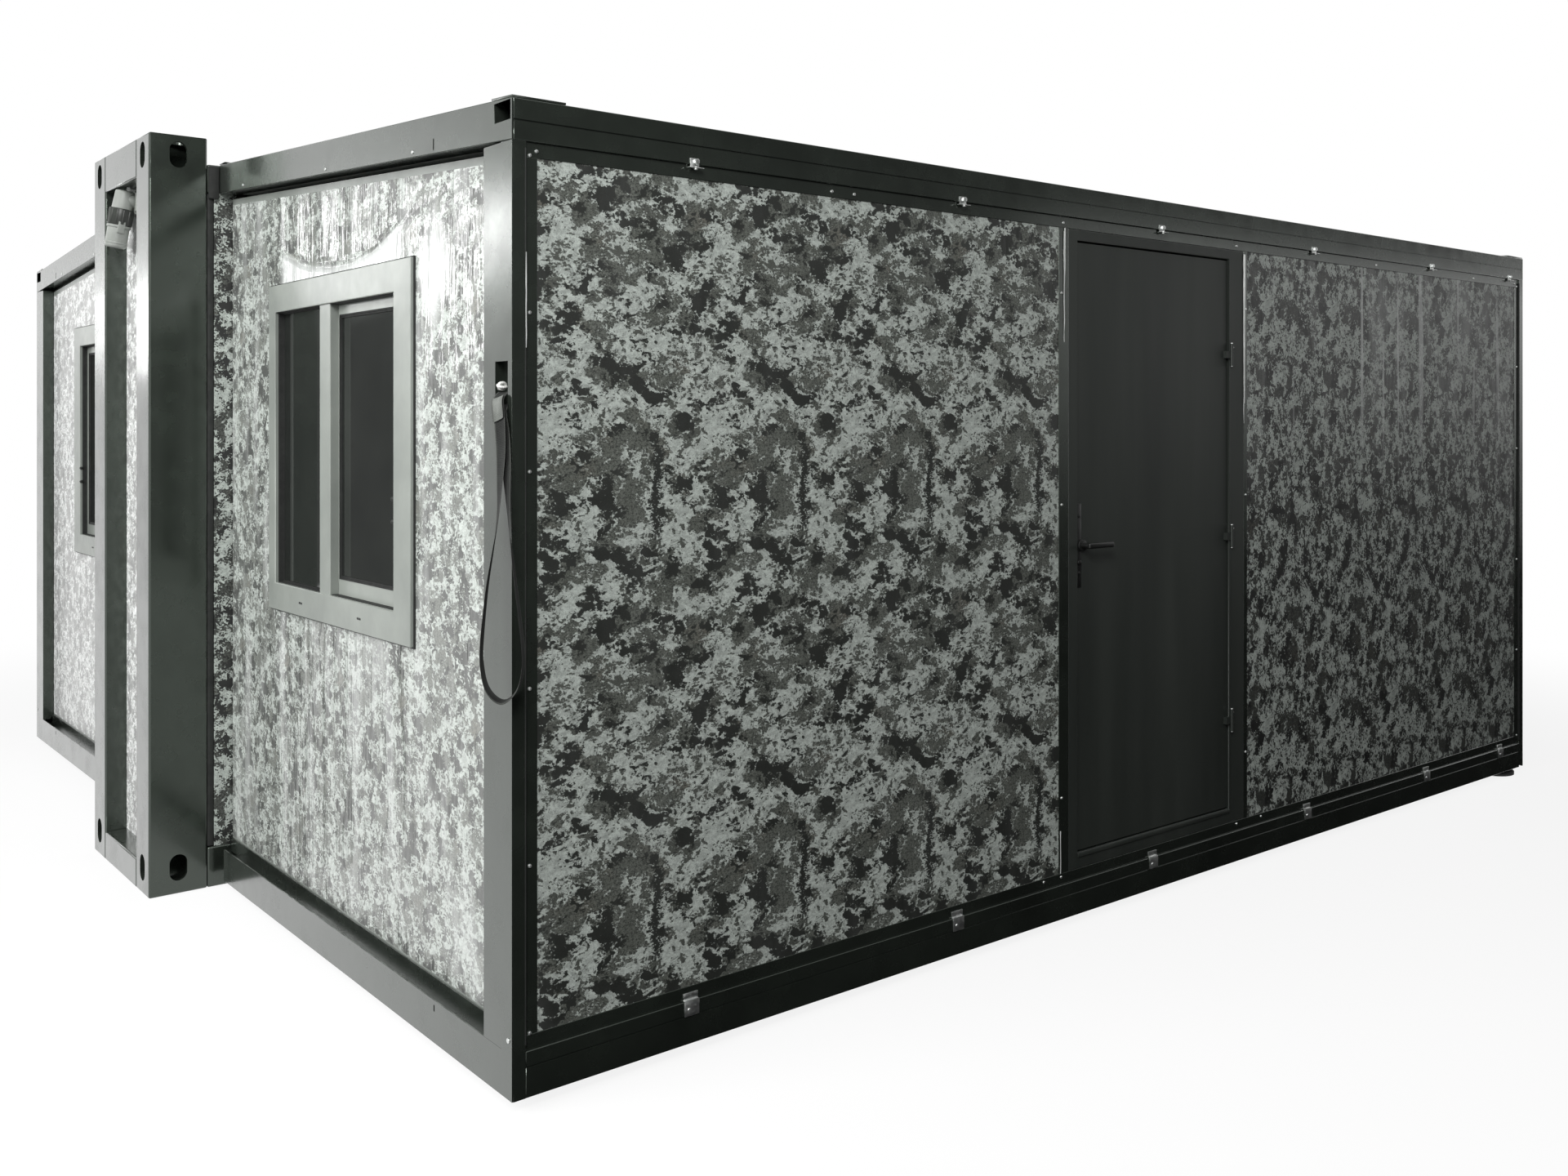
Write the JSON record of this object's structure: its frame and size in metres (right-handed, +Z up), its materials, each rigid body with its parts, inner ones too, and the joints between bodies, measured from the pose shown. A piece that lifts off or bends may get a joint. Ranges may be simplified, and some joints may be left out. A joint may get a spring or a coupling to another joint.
{
  "type": "folding container office",
  "caption": "Folding container office: narrow steel core with end frames, two fold-out wings, camouflage panels, a side door and end wall windows.",
  "frame": {"origin": "centre of the footprint on the ground", "axes": "+X along the length, -Y out of the entrance, +Z up"},
  "size_m": [5.4705, 4.8709, 2.5],
  "materials": {
    "frame_paint": "semi-gloss grey-green paint on steel",
    "door_paint": "satin dark green coating",
    "camo_panel": "printed camouflage film on steel sandwich panel, glossy",
    "floor_board": "vinyl covered board",
    "roof_sheet": "coated steel sheet",
    "track_steel": "satin channel",
    "window_aluminium": "satin powder coated frame",
    "window_glass": "dark tinted glass",
    "zinc_steel": "zinc plated",
    "lever_black": "black powder coat",
    "inlet_plastic": "light grey moulded",
    "strap_webbing": "black woven webbing"
  },
  "bodies": {
    "building": {"corner_castings": "frame_paint", "core_posts": "frame_paint", "core_end_beams": "frame_paint", "core_end_walls": "camo_panel", "core_floor": "floor_board", "core_roof": "roof_sheet", "core_side_rails": "frame_paint", "core_jambs": "camo_panel", "floor_side_rails": "frame_paint", "floor_end_rails": "frame_paint", "front_floor_panel": "floor_board", "back_floor_panel": "floor_board", "roof_side_rails": "frame_paint", "roof_end_rails": "frame_paint", "front_roof_panel": "roof_sheet", "back_roof_panel": "roof_sheet", "corner_posts": "frame_paint", "wing_feet": "zinc_steel", "front_wall_left": "camo_panel", "front_wall_right": "camo_panel", "back_wall": "camo_panel", "wall_tracks": "frame_paint", "wall_clips": "zinc_steel", "wall_edge_strips": "frame_paint", "door_frame": "frame_paint", "door_hinges": "frame_paint", "end_wall_hinges": "zinc_steel", "power_inlet": "inlet_plastic", "pull_strap": "strap_webbing"},
    "door": {"door_leaf": "door_paint"},
    "lever": {"door_lever": "lever_black"},
    "front_left_end": {"front_left_wall": "camo_panel", "front_left_tracks": "track_steel", "front_left_window": "window_aluminium", "front_left_glass": "window_glass"},
    "front_right_end": {"front_right_wall": "camo_panel", "front_right_tracks": "track_steel", "front_right_window": "window_aluminium", "front_right_glass": "window_glass"},
    "back_left_end": {"back_left_wall": "camo_panel", "back_left_tracks": "track_steel", "back_left_window": "window_aluminium", "back_left_glass": "window_glass"},
    "back_right_end": {"back_right_wall": "camo_panel", "back_right_tracks": "track_steel", "back_right_window": "window_aluminium", "back_right_glass": "window_glass"}
  },
  "joints": [
    {"name": "door_swing", "type": "hinge", "parent": "building", "child": "door", "pos_m": [0.272, -2.401, 1.16], "axis": [0, 0, 1], "range_deg": [0, 110]},
    {"name": "lever_press", "type": "hinge", "parent": "door", "child": "lever", "pos_m": [-0.521, -2.388, 1.17], "axis": [0, 1, 0], "range_deg": [0, 45], "stiffness_Nm_per_rad": 1.5, "springref_deg": -28.65},
    {"name": "front_left_fold", "type": "hinge", "parent": "building", "child": "front_left_end", "pos_m": [-2.398, -0.357, 1.18], "axis": [0, 0, 1], "range_deg": [0, 90]},
    {"name": "front_right_fold", "type": "hinge", "parent": "building", "child": "front_right_end", "pos_m": [2.398, -0.357, 1.18], "axis": [0, 0, -1], "range_deg": [0, 90]},
    {"name": "back_left_fold", "type": "hinge", "parent": "building", "child": "back_left_end", "pos_m": [-2.398, 0.357, 1.18], "axis": [0, 0, -1], "range_deg": [0, 90]},
    {"name": "back_right_fold", "type": "hinge", "parent": "building", "child": "back_right_end", "pos_m": [2.398, 0.357, 1.18], "axis": [0, 0, 1], "range_deg": [0, 90]}
  ]
}
